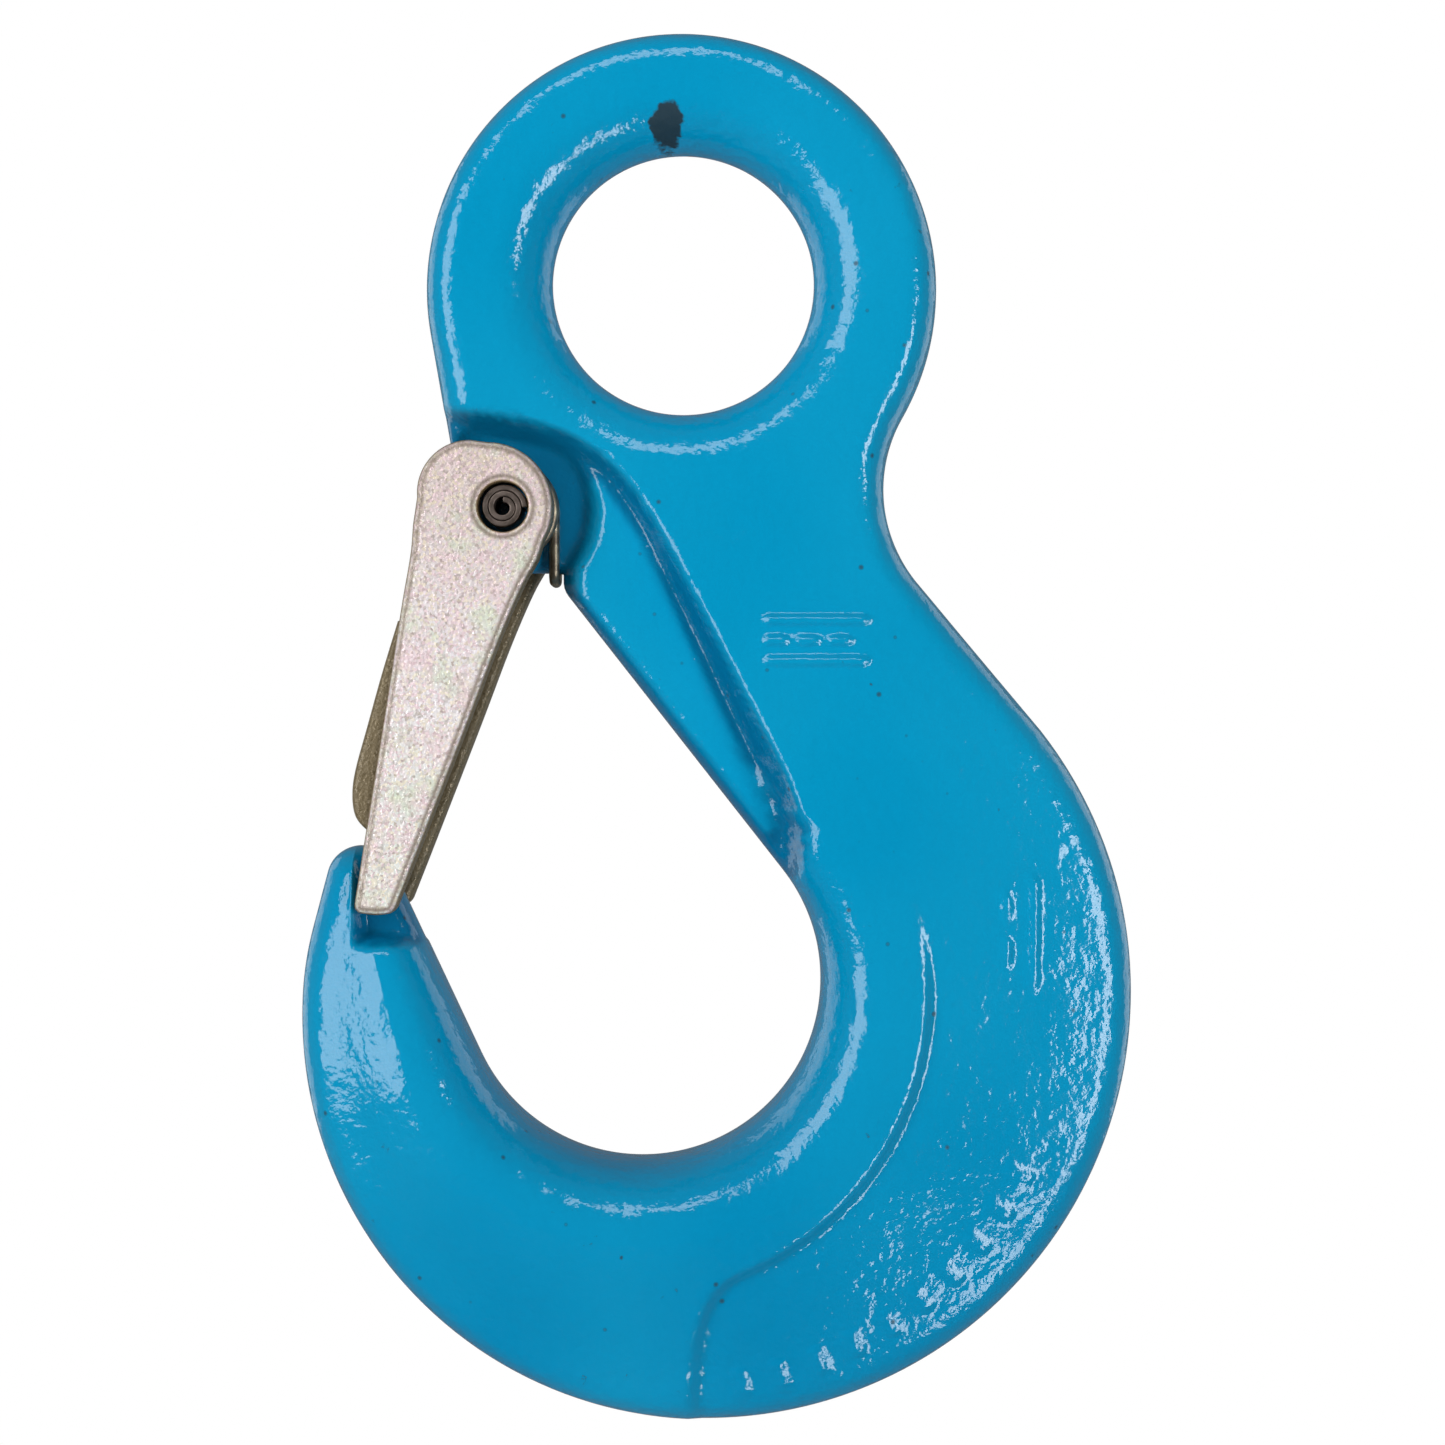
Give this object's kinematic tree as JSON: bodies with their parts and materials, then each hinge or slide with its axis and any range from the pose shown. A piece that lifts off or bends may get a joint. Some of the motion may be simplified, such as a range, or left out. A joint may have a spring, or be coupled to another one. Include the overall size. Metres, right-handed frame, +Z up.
{
  "type": "eye hook with latch",
  "caption": "Forged lifting hook with a plain round eye and a spring-loaded U-shaped safety latch that folds into the throat to open.",
  "frame": {"origin": "centre of the eye's bore", "axes": "+Z up from the bowl towards the eye, with the hook hanging; +Y along the eye's bore; the throat opens towards -X"},
  "size_m": [0.1074, 0.026, 0.1791],
  "materials": {
    "hook_paint": "glossy blue powder coat over a forged surface",
    "latch_zinc": "forged steel, zinc plated and yellow passivated, faintly iridescent",
    "spring_steel": "drawn spring wire, dull",
    "pin_steel": "dark oiled spring steel strip"
  },
  "bodies": {
    "hook": {"hook_body": "hook_paint", "pivot_pin": "pin_steel", "latch_spring": "spring_steel"},
    "latch": {"latch": "latch_zinc"}
  },
  "joints": [
    {"name": "latch_hinge", "type": "hinge", "parent": "hook", "child": "latch", "pos_m": [-0.0227, 0, -0.0297], "axis": [0, -1, 0], "range_deg": [0, 55], "stiffness_Nm_per_rad": 0.15, "springref_deg": -34.38, "deforming": ["latch_spring"]}
  ]
}
